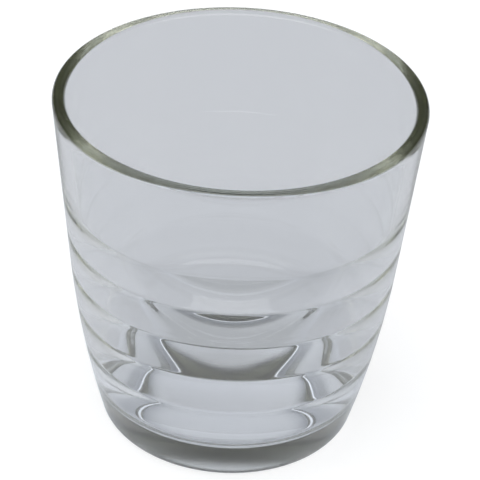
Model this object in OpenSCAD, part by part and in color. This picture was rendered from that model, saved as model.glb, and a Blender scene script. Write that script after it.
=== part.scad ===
// A pressed tea glass in one piece: smooth and tapered outside, softly ringed inside,
// with a rounded heel, a hollowed underside and a narrow ring that it stands on.
// The glass stands on z = 0, with its axis on the Z axis.

/* [Outside] */
// Diameter over the rim
rim_d = 80; // [74:0.5:90]
// Height from the table to the top of the rim
glass_h = 81.8; // [74:0.1:100]
// Height where the straight side ends and the long curve down to the foot begins
shoulder_h = 42; // [36:1:50]
// How far the straight side draws in from the rim to that height
side_draw = 4.1; // [3:0.1:5.5]
// How far the long curve draws in from there to the table, where it would meet it with a sharp heel
foot_draw = 8.5; // [7:0.1:10]
// Radius of the rounded heel
heel_r = 4.4; // [3:0.1:6]

/* [Walls] */
// Thickness of the wall at the rim, whose edge is a full round
rim_t = 2.8; // [2.2:0.1:3.4]
// Thickness of the wall below the straight side
low_wall_t = 3; // [2.4:0.1:4]
// Height of the middle of the floor of the hollow above the table
floor_h = 4.3; // [4:0.1:5]
// Radius of the shallow bowl that the floor is
floor_r = 65; // [58:1:90]
// Radius of the corner between that bowl and the wall
corner_r = 3.5; // [2.8:0.1:5]

/* [Rings] */
// Number of rings round the inside
ring_n = 5; // [1:1:5]
// Height of the valley over the top ring
ring_top_h = 59; // [57:0.1:62]
// Height of one ring, from valley to valley
ring_pitch = 9.4; // [8.5:0.1:10]
// How far the middle of a ring stands in from the valleys
ring_rise = 0.38; // [0.1:0.02:0.6]

/* [Underside] */
// How far in the standing ring touches the table, from where the long curve would meet it
stand_in = 6.1; // [5.7:0.1:8.4]
// Width of the flat that touches the table
stand_flat_w = 0.4; // [0.2:0.1:0.8]
// Width of the slope from the flat out to the plane outside the ring
stand_slope_w = 1; // [0.8:0.1:1.6]
// Height of that plane above the table
stand_h = 0.6; // [0.3:0.1:0.8]
// Height of the shallow dome of the underside, above the foot of its edge
dome_h = 1.4; // [0.8:0.1:1.8]
// Height of the steep edge of the dome, beside the flat of the ring
dome_edge_h = 0.5; // [0.3:0.1:0.8]

/* [Hidden] */

// Straight steps that each curve of the outline is drawn with
curve_steps = 20;
heel_steps = 8;
corner_steps = 8;
floor_steps = 12;
ring_steps = 8;
rim_steps = 10;
dome_steps = 20;
slope_steps = 4;
turn_fn = 96;

// How late the dome and its edge bend down to the ring: a higher power bends later
dome_power = 2.5;
edge_power = 36;

// The full round of the rim
rim_r = rim_t / 2;
rim_z = glass_h - rim_r;
rim_c = [rim_d / 2 - rim_r, rim_z];

// The long curve is one arc that leaves the straight side without a corner at the shoulder
shoulder = [rim_d / 2 - side_draw, shoulder_h];
side = [side_draw, rim_z - shoulder_h];
side_in = [-side.y, side.x] / norm(side);
drop = [-foot_draw, -shoulder_h];
curve_r = drop * drop / (2 * drop * side_in);
curve_c = shoulder + curve_r * side_in;
curve_top_a = atan2(shoulder.y - curve_c.y, shoulder.x - curve_c.x);

// The heel is an arc inside the long curve, down to the plane outside the standing ring
heel_z = stand_h + heel_r;
heel_c = [curve_c.x + sqrt(pow(curve_r - heel_r, 2) - pow(heel_z - curve_c.y, 2)), heel_z];
heel_a = atan2(heel_c.y - curve_c.y, heel_c.x - curve_c.x);

// The corner of the hollow is an arc that touches the inside of the wall and the bowl of the floor:
// its middle is a corner radius in from both, where two circles cross
floor_c = [0, floor_h + floor_r];
gap = floor_c - curve_c;
gap_l = norm(gap);
from_wall = curve_r - low_wall_t - corner_r;
from_floor = floor_r - corner_r;
along = (pow(from_wall, 2) - pow(from_floor, 2) + pow(gap_l, 2)) / (2 * gap_l);
aside = sqrt(pow(from_wall, 2) - pow(along, 2));
corner_c = curve_c + along * gap / gap_l + aside * [gap.y, -gap.x] / gap_l;
corner_top_a = atan2(corner_c.y - curve_c.y, corner_c.x - curve_c.x);
corner_low_a = atan2(corner_c.y - floor_c.y, corner_c.x - floor_c.x);
corner_top_z = corner_c.y + corner_r * sin(corner_top_a);

// Middle and edges of the flat of the standing ring
stand_r = shoulder.x - foot_draw - stand_in;
flat_in = stand_r - stand_flat_w / 2;
flat_out = stand_r + stand_flat_w / 2;

// Radius of the inside at a height, without the rings
function inside_r(z) = z > shoulder_h
    ? shoulder.x + side.x * (z - shoulder_h) / side.y - wall_t(z)
    : curve_c.x + sqrt(pow(curve_r - low_wall_t, 2) - pow(z - curve_c.y, 2));

// Thickness of the wall at a height on the straight side
function wall_t(z) = rim_t + (low_wall_t - rim_t) * (rim_z - z) / (rim_z - shoulder_h);

// How far a ring stands in, at a place from -1 at its lower valley to 1 at its upper one
function ring_bulge(place) = ring_rise * (1 - pow(place, 2));

// Points along an arc from one angle to another
function arc(c, r, from, to, steps) =
    [for (i = [0 : steps]) let (a = from + (to - from) * i / steps) c + r * [cos(a), sin(a)]];

// The dome of the underside, from the axis out to the flat of the ring
dome = [
    for (i = [0 : dome_steps])
        let (s = 1 - pow(1 - i / dome_steps, 2))
        [flat_in * s, dome_h * (1 - pow(s, dome_power)) + dome_edge_h * (1 - pow(s, edge_power))]
];

// The flat of the ring, and the slope outside it up to the plane that meets the heel
slope = [
    for (i = [0 : slope_steps])
        let (s = i / slope_steps)
        [flat_out + stand_slope_w * s, stand_h * (1 - pow(1 - s, 2))]
];

// The rings on the inside, from the top valley down to the corner
rings_down = [
    for (i = [0 : ring_n * ring_steps])
        let (z = ring_top_h - ring_pitch * i / ring_steps)
        if (z > corner_top_z) [inside_r(z) - ring_bulge(1 - 2 * (i % ring_steps) / ring_steps), z]
];

outline = concat(
    dome,
    slope,
    arc(heel_c, heel_r, -90, heel_a, heel_steps),
    arc(curve_c, curve_r, heel_a, curve_top_a, curve_steps),
    arc(rim_c, rim_r, 0, 180, rim_steps),
    rings_down,
    arc(corner_c, corner_r, corner_top_a, corner_low_a, corner_steps),
    arc(floor_c, floor_r, corner_low_a, -90, floor_steps)
);

module tumbler() {
    color([0.8, 0.82, 0.82, 0.5])
        rotate_extrude($fn = turn_fn)
            polygon(outline);
}

tumbler();
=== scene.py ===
import bpy
import numpy as np
from mathutils import Matrix, Vector


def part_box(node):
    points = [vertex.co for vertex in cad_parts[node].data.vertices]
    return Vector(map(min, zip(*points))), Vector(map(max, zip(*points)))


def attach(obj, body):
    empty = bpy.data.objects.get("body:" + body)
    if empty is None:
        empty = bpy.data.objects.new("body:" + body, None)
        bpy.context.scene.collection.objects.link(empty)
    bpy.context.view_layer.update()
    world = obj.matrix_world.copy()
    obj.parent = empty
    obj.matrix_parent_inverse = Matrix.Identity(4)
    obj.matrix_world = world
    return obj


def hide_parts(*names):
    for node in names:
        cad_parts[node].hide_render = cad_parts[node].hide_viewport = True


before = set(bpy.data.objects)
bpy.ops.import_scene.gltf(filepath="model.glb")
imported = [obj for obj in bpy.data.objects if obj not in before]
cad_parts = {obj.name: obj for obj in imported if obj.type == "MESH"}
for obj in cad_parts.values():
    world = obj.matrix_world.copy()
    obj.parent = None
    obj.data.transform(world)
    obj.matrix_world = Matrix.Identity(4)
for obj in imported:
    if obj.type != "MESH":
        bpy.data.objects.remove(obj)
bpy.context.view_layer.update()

# The tumbler
# One piece of soda-lime glass, pressed in a mould and fire-polished: tapered and smooth outside, with five
# soft rings that the plunger left inside, a rounded heel, and a low ring under the base that it stands on.
# Its sizes are in millimetres.
MM = 0.001
high_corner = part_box("tumbler")[1]
rim_radius = high_corner[0] / MM
glass_height = high_corner[2] / MM
shoulder_height = 42.0
side_draw = 4.1
foot_draw = 8.5
heel_radius = 4.4
rim_wall = 2.8
low_wall = 3.0
floor_height = 4.3
floor_radius = 65.0
corner_radius = 3.5
ring_count = 5
ring_start = 12.0
ring_pitch = 9.4
ring_rise = 0.38
valley_softness = 0.03
stand_in = 6.1
flat_half = 0.2
slope_width = 1.0
stand_height = 0.6
dome_height = 1.4
dome_power = 2.5
dome_edge_height = 0.5
dome_edge_power = 36

rim_round = rim_wall / 2
rim_height = glass_height - rim_round
shoulder_radius = rim_radius - side_draw
foot_radius = shoulder_radius - foot_draw
stand_radius = foot_radius - stand_in
shoulder = np.array([shoulder_radius, shoulder_height])
side = np.array([rim_radius, rim_height]) - shoulder
side_in = np.array([-side[1], side[0]]) / np.linalg.norm(side)
drop = np.array([foot_radius, 0.0]) - shoulder
curve_radius = drop @ drop / (2 * drop @ side_in)
curve_centre = shoulder + curve_radius * side_in
heel_height = stand_height + heel_radius
heel_across = np.sqrt((curve_radius - heel_radius) ** 2 - (heel_height - curve_centre[1]) ** 2)
heel_centre = np.array([curve_centre[0] + heel_across, heel_height])


def arc(centre, radius, start, end, count):
    """Points on a circle: the centre plus the radius times the cosine and sine of angles that are spread
    evenly from start to end."""
    angle = np.linspace(start, end, count)
    return centre + radius * np.stack([np.cos(angle), np.sin(angle)], 1)


def angle_of(point, centre):
    """Angle of the line from the centre to the point, from the outward direction."""
    return np.arctan2(point[1] - centre[1], point[0] - centre[0])


def outside_radius(z):
    """Radius of the outside at a height: the straight side above the shoulder, and below it one circle that
    the side touches."""
    straight = shoulder[0] + side[0] * (z - shoulder[1]) / side[1]
    below = np.minimum(z, shoulder[1])
    curved = curve_centre[0] + np.sqrt(curve_radius**2 - (below - curve_centre[1]) ** 2)
    return np.where(z > shoulder[1], straight, curved)


def inside_radius(z):
    """Radius of the inside: above the shoulder the outside less a wall that thickens evenly downward, below
    it the same circle drawn in by the wall, and all of it less the rings. A ring is a parabola between two
    valleys, and the valleys are rounded by a hyperbola of the valley softness."""
    wall = rim_wall + (low_wall - rim_wall) * (rim_height - z) / (rim_height - shoulder_height)
    low = np.minimum(z, shoulder_height)
    curved = curve_centre[0] + np.sqrt((curve_radius - low_wall) ** 2 - (low - curve_centre[1]) ** 2)
    base = np.where(z > shoulder_height, outside_radius(z) - wall, curved)
    turn = (z - ring_start) / ring_pitch
    place = 2 * (turn - np.floor(turn)) - 1
    rise = np.where((turn >= 0) & (turn < ring_count), ring_rise * (1 - place**2), 0)
    rise = np.sqrt(rise**2 + valley_softness**2) - valley_softness
    return base - rise


# The corner of the hollow touches the inside of the wall and the bowl of the floor: its middle is a corner
# radius in from both, where two circles cross.
floor_centre = np.array([0.0, floor_height + floor_radius])
apart = np.linalg.norm(floor_centre - curve_centre)
wall_reach = curve_radius - low_wall - corner_radius
floor_reach = floor_radius - corner_radius
along = (wall_reach**2 - floor_reach**2 + apart**2) / (2 * apart)
aside = np.sqrt(wall_reach**2 - along**2)
ahead_way = (floor_centre - curve_centre) / apart
corner_centre = curve_centre + along * ahead_way + aside * np.array([ahead_way[1], -ahead_way[0]])
corner_start = angle_of(corner_centre, curve_centre)
corner_end = angle_of(corner_centre, floor_centre)
heel_end = angle_of(heel_centre, curve_centre)
curve_end = angle_of(shoulder, curve_centre)

dome_count = 60
slope_count = 24
heel_count = 24
curve_count = 50
side_count = 21
rim_count = 25
upper_count = 16
steps_per_ring = 26
corner_count = 36
floor_count = 24
count_around = 240

# The underside: a dome that bends late and steeply down to the flat of the ring, and a slope outside the flat
# that levels out in a parabola.
dome_share = 1 - np.linspace(1, 0, dome_count)[:, None] ** 2
dome_rise = dome_height * (1 - dome_share**dome_power) + dome_edge_height * (1 - dome_share**dome_edge_power)
dome = np.hstack([dome_share * (stand_radius - flat_half), dome_rise])
slope_share = np.linspace(0, 1, slope_count)[:, None]
slope_across = stand_radius + flat_half + slope_width * slope_share
slope = np.hstack([slope_across, stand_height * (1 - (1 - slope_share) ** 2)])

side_heights = np.linspace(shoulder_height, rim_height, side_count)[1:-1]
ring_heights = np.linspace(ring_start + ring_count * ring_pitch, ring_start, ring_count * steps_per_ring + 1)
upper_heights = np.linspace(rim_height, ring_heights[0], upper_count)[1:-1]
profile = np.vstack(
    [
        dome,
        slope,
        arc(heel_centre, heel_radius, -np.pi / 2, heel_end, heel_count),
        arc(curve_centre, curve_radius, heel_end, curve_end, curve_count)[1:],
        np.stack([outside_radius(side_heights), side_heights], 1),
        arc(np.array([rim_radius - rim_round, rim_height]), rim_round, 0, np.pi, rim_count),
        np.stack([inside_radius(upper_heights), upper_heights], 1),
        np.stack([inside_radius(ring_heights), ring_heights], 1),
        arc(corner_centre, corner_radius, corner_start, corner_end, corner_count),
        arc(floor_centre, floor_radius, corner_end, -np.pi / 2, floor_count)[1:],
    ]
)


def revolve(name, outline, around):
    """A closed surface: each outline point (r, z) but the first and last, which lie on the axis, becomes a
    ring of points (r cos a, r sin a, z). Fans close the two poles, and the faces point outward."""
    angle = np.linspace(0, 2 * np.pi, around, endpoint=False)
    rings = outline[1:-1]
    x = rings[:, :1] * np.cos(angle)
    y = rings[:, :1] * np.sin(angle)
    z = np.repeat(rings[:, 1:], around, 1)
    poles = [[0, 0, outline[0, 1]], [0, 0, outline[-1, 1]]]
    points = np.vstack([np.stack([x, y, z], 2).reshape(-1, 3), poles]) * MM
    row = np.arange(len(rings) - 1)[:, None] * around
    here = np.arange(around)
    ahead = (here + 1) % around
    quads = np.stack([row + here, row + ahead, row + around + ahead, row + around + here], 2).reshape(-1, 4)
    first_pole = len(rings) * around
    last_ring = first_pole - around
    bottom = np.stack([np.full(around, first_pole), ahead, here], 1)
    top = np.stack([np.full(around, first_pole + 1), last_ring + here, last_ring + ahead], 1)
    mesh = bpy.data.meshes.new(name)
    mesh.from_pydata(points.tolist(), [], quads.tolist() + bottom.tolist() + top.tolist())
    mesh.polygons.foreach_set("use_smooth", np.ones(len(mesh.polygons), bool))
    mesh.update()
    piece = bpy.data.objects.new(name, mesh)
    bpy.context.scene.collection.objects.link(piece)
    return piece


tumbler = revolve("tumbler_glass", profile, count_around)


def feed(tree, socket, source):
    """Links the source to the socket if it is a node's output, or else sets the socket to that value."""
    if isinstance(source, bpy.types.NodeSocket):
        tree.links.new(source, socket)
    else:
        socket.default_value = source


def reckon(tree, operation, *sources):
    """Output of a Math node that does the operation on the sources, in their order."""
    step = tree.nodes.new("ShaderNodeMath")
    step.operation = operation
    for socket, source in zip(step.inputs, sources):
        feed(tree, socket, source)
    return step.outputs["Value"]


def reckon_vector(tree, operation, result, *sources):
    """Output of a Vector Math node that does the operation on the sources: result is Vector or Value."""
    step = tree.nodes.new("ShaderNodeVectorMath")
    step.operation = operation
    for socket, source in zip(step.inputs, sources):
        feed(tree, socket, source)
    return step.outputs[result]


def change_over(tree, curve, value, start, end, before, after):
    """Output of a Map Range node: before up to start, after from end on, and between them a straight line if
    curve is LINEAR or a smooth S if it is SMOOTHSTEP."""
    step = tree.nodes.new("ShaderNodeMapRange")
    step.interpolation_type = curve
    feed(tree, step.inputs["Value"], value)
    step.inputs["From Min"].default_value = start
    step.inputs["From Max"].default_value = end
    step.inputs["To Min"].default_value = before
    step.inputs["To Max"].default_value = after
    return step.outputs["Result"]


surface_tint = (0.97, 0.975, 0.985, 1)
refraction = 1.5
body_colour = (0.61, 0.635, 0.48, 1)
body_density = 9
matt_roughness = 0.2
matt_radius = 24.5
matt_height = 3
glass = bpy.data.materials.new("clear_glass")
glass.use_nodes = True
glass_tree = glass.node_tree
glass_out = glass_tree.nodes["Material Output"]
shader = glass_tree.nodes["Principled BSDF"]
shader.inputs["Base Color"].default_value = surface_tint
shader.inputs["IOR"].default_value = refraction
shader.inputs["Transmission Weight"].default_value = 1
absorption = glass_tree.nodes.new("ShaderNodeVolumeAbsorption")
absorption.inputs["Color"].default_value = body_colour
absorption.inputs["Density"].default_value = body_density
glass_tree.links.new(absorption.outputs["Volume"], glass_out.inputs["Volume"])

# The underside is slightly matt, inside the heel and low down. The rest is fire-polished.
place = glass_tree.nodes.new("ShaderNodeTexCoord")
split_place = glass_tree.nodes.new("ShaderNodeSeparateXYZ")
glass_tree.links.new(place.outputs["Object"], split_place.inputs["Vector"])
height = split_place.outputs["Z"]
flat_place = reckon_vector(glass_tree, "MULTIPLY", "Vector", place.outputs["Object"], (1, 1, 0))
from_axis = reckon_vector(glass_tree, "LENGTH", "Value", flat_place)
inside_heel = reckon(glass_tree, "LESS_THAN", from_axis, matt_radius * MM)
low_down = reckon(glass_tree, "LESS_THAN", height, matt_height * MM)
underside = reckon(glass_tree, "MULTIPLY", inside_heel, low_down)
roughness = reckon(glass_tree, "MULTIPLY", underside, matt_roughness)
glass_tree.links.new(roughness, shader.inputs["Roughness"])

# The lamp's rays pass the glass straight. Less passes where they graze the wall, and none beside the foot of
# the standing ring, so that a thin dark line lies where the glass meets the table.
shadow_clear = 1
shadow_slant = 0.8
shadow_slanted = 0.6
ring_dark_z = 0.4
ring_light_z = 1.1
flat_z = 0.02
even_blend = 0.5
slant = glass_tree.nodes.new("ShaderNodeLayerWeight")
slant.inputs["Blend"].default_value = even_blend
let_through = change_over(
    glass_tree, "LINEAR", slant.outputs["Facing"], 0, shadow_slant, shadow_clear, shadow_slanted
)
past_ring = change_over(glass_tree, "SMOOTHSTEP", height, ring_dark_z * MM, ring_light_z * MM, 0, 1)
on_flat = reckon(glass_tree, "LESS_THAN", height, flat_z * MM)
past_or_flat = reckon(glass_tree, "MAXIMUM", past_ring, on_flat)
shadow = glass_tree.nodes.new("ShaderNodeBsdfTransparent")
glass_tree.links.new(reckon(glass_tree, "MULTIPLY", let_through, past_or_flat), shadow.inputs["Color"])
lamp_path = glass_tree.nodes.new("ShaderNodeLightPath")
for_lamps = glass_tree.nodes.new("ShaderNodeMixShader")
glass_tree.links.new(lamp_path.outputs["Is Shadow Ray"], for_lamps.inputs["Fac"])
glass_tree.links.new(shader.outputs["BSDF"], for_lamps.inputs[1])
glass_tree.links.new(shadow.outputs["BSDF"], for_lamps.inputs[2])
glass_tree.links.new(for_lamps.outputs["Shader"], glass_out.inputs["Surface"])
tumbler.data.materials.append(glass)
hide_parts("tumbler")
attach(tumbler, "root")

# The table
# A plain pale surface, round and wide, that keeps the shadow of the glass. It is white to the camera and a
# fainter blue-grey to rays that the glass has mirrored or bent. Under the glass that grey carries painted
# light that brightens it, but for a patch of painted shadow behind the middle.
table_radius = 1200
table_corners = 96
table_colour = (0.44, 0.448, 0.46, 1)
white_glow = 0.62
grey_glow = 0.18
grey_colour = (0.84, 0.905, 1.04, 1)
# Painted light: how much the grey seen through the glass is brightened under the glass, and where it fades
# out.
painted_light_gain = 0.85
painted_light_full = 36
painted_light_end = 46
# Painted shadow: a dim patch in that painted light, centred behind the middle of the glass.
painted_shadow_back = 24
painted_shadow_inner = 10
painted_shadow_outer = 28
table_angle = np.linspace(0, 2 * np.pi, table_corners, endpoint=False)
table_way = np.stack([np.cos(table_angle), np.sin(table_angle), np.zeros(table_corners)], 1)
table_edge = table_way * table_radius * MM
table_mesh = bpy.data.meshes.new("table")
table_mesh.from_pydata(table_edge.tolist(), [], [list(range(table_corners))])
table = bpy.data.objects.new("table", table_mesh)
bpy.context.scene.collection.objects.link(table)
table_white = bpy.data.materials.new("table_white")
table_white.use_nodes = True
table_tree = table_white.node_tree
table_tree.nodes.clear()
table_place = table_tree.nodes.new("ShaderNodeTexCoord").outputs["Object"]
# Painted light under the glass, with a painted shadow behind its middle, in the grey that the glass shows.
from_painted_shadow = reckon_vector(table_tree, "DISTANCE", "Value", table_place, (0, painted_shadow_back * MM, 0))
painted_light_amount = change_over(table_tree, "SMOOTHSTEP", from_painted_shadow, painted_shadow_inner * MM, painted_shadow_outer * MM, 0, painted_light_gain)
from_middle = reckon_vector(table_tree, "LENGTH", "Value", table_place)
painted_light_area = change_over(table_tree, "SMOOTHSTEP", from_middle, painted_light_full * MM, painted_light_end * MM, 1, 0)
grey_with_painted_light = reckon(table_tree, "MULTIPLY_ADD", painted_light_amount, painted_light_area, 1)
path = table_tree.nodes.new("ShaderNodeLightPath")
white_part = reckon(table_tree, "MULTIPLY", path.outputs["Is Camera Ray"], white_glow)
by_glass = reckon(table_tree, "MAXIMUM", path.outputs["Is Glossy Ray"], path.outputs["Is Transmission Ray"])
grey_part = reckon(table_tree, "MULTIPLY", reckon(table_tree, "MULTIPLY", grey_with_painted_light, by_glass), grey_glow)
seen_white = table_tree.nodes.new("ShaderNodeEmission")
seen_grey = table_tree.nodes.new("ShaderNodeEmission")
seen_grey.inputs["Color"].default_value = grey_colour
matt = table_tree.nodes.new("ShaderNodeBsdfDiffuse")
matt.inputs["Color"].default_value = table_colour
glows = table_tree.nodes.new("ShaderNodeAddShader")
lit = table_tree.nodes.new("ShaderNodeAddShader")
table_out = table_tree.nodes.new("ShaderNodeOutputMaterial")
table_tree.links.new(white_part, seen_white.inputs["Strength"])
table_tree.links.new(grey_part, seen_grey.inputs["Strength"])
table_tree.links.new(seen_white.outputs["Emission"], glows.inputs[0])
table_tree.links.new(seen_grey.outputs["Emission"], glows.inputs[1])
table_tree.links.new(matt.outputs["BSDF"], lit.inputs[0])
table_tree.links.new(glows.outputs["Shader"], lit.inputs[1])
table_tree.links.new(lit.outputs["Shader"], table_out.inputs["Surface"])
table.data.materials.append(table_white)

# The light
# One wide soft lamp overhead, a little to the left and towards the camera, that the glass neither mirrors nor
# shows. The dim room has a broad light low in front and four fainter soft ones half way up its corners. Its
# places, and the camera's, are in metres.
room_colour = (1, 1, 1, 1)
room_strength = 0.022
front_strength = 2.6
front_way = (0, -1, -1)
front_from = 0.1
front_to = 0.6
window_way = (0.55, 0.5, 0.67)
window_edge = 0.8
window_strength = 0.18
room = bpy.data.worlds.new("room")
room.use_nodes = True
room_tree = room.node_tree
background = room_tree.nodes["Background"]
background.inputs["Color"].default_value = room_colour
facing = room_tree.nodes.new("ShaderNodeTexCoord").outputs["Generated"]
near_front = reckon_vector(room_tree, "DOT_PRODUCT", "Value", facing, front_way)
front_light = change_over(
    room_tree, "SMOOTHSTEP", near_front, front_from, front_to, room_strength, front_strength
)
folded = reckon_vector(room_tree, "ABSOLUTE", "Vector", facing)
near_window = reckon_vector(room_tree, "DOT_PRODUCT", "Value", folded, window_way)
window_light = change_over(room_tree, "SMOOTHSTEP", near_window, window_edge, 1, 0, window_strength)
room_tree.links.new(reckon(room_tree, "ADD", front_light, window_light), background.inputs["Strength"])
bpy.context.scene.world = room
lamp_place = Vector((-0.2, -0.3, 1.6))
lamp_aim = Vector((0, 0, 0.04))
lamp_light = bpy.data.lights.new("overhead_lamp", "AREA")
lamp_light.size = 1.2
lamp_light.energy = 26
lamp = bpy.data.objects.new("overhead_lamp", lamp_light)
lamp.location = lamp_place
lamp.rotation_euler = (lamp_aim - lamp_place).to_track_quat("-Z", "Y").to_euler()
lamp.visible_transmission = False
lamp.visible_glossy = False
bpy.context.scene.collection.objects.link(lamp)

# The camera
# It stands in front of the glass at 30 degrees above the table, aimed at the middle of the mouth, and is then
# turned 3 degrees down and rolled by a little less.
aim = Vector((0, 0, 0.081))
camera_distance = 0.56
camera_rise = np.radians(30.036)
camera_pan = np.radians(-0.12538)
camera_tilt = np.radians(-3.07743)
camera_roll = np.radians(2.77679)
away = Vector((0, -np.cos(camera_rise), np.sin(camera_rise)))
forward = -away
right = Vector((1, 0, 0))
up = right.cross(forward)
pan = Matrix.Rotation(camera_pan, 3, up)
forward = pan @ forward
right = pan @ right
tilt = Matrix.Rotation(camera_tilt, 3, right)
forward = tilt @ forward
up = tilt @ up
rolled_right = right * np.cos(camera_roll) + up * np.sin(camera_roll)
rolled_up = up * np.cos(camera_roll) - right * np.sin(camera_roll)
camera_data = bpy.data.cameras.new("camera")
camera_data.sensor_width = 36
camera_data.lens = 198.17
camera_data.clip_start = 0.01
camera = bpy.data.objects.new("camera", camera_data)
turned = Matrix((rolled_right, rolled_up, -forward)).transposed().to_4x4()
camera.matrix_world = Matrix.Translation(aim + away * camera_distance) @ turned
bpy.context.scene.collection.objects.link(camera)
bpy.context.scene.camera = camera

# The picture
# Plain colours with no film curve, and enough bounces for light that goes round inside the rim and the heel.
bpy.context.scene.view_settings.view_transform = "Standard"
bounces = 128
bpy.context.scene.cycles.max_bounces = bounces
bpy.context.scene.cycles.transmission_bounces = bounces
bpy.context.scene.cycles.glossy_bounces = bounces
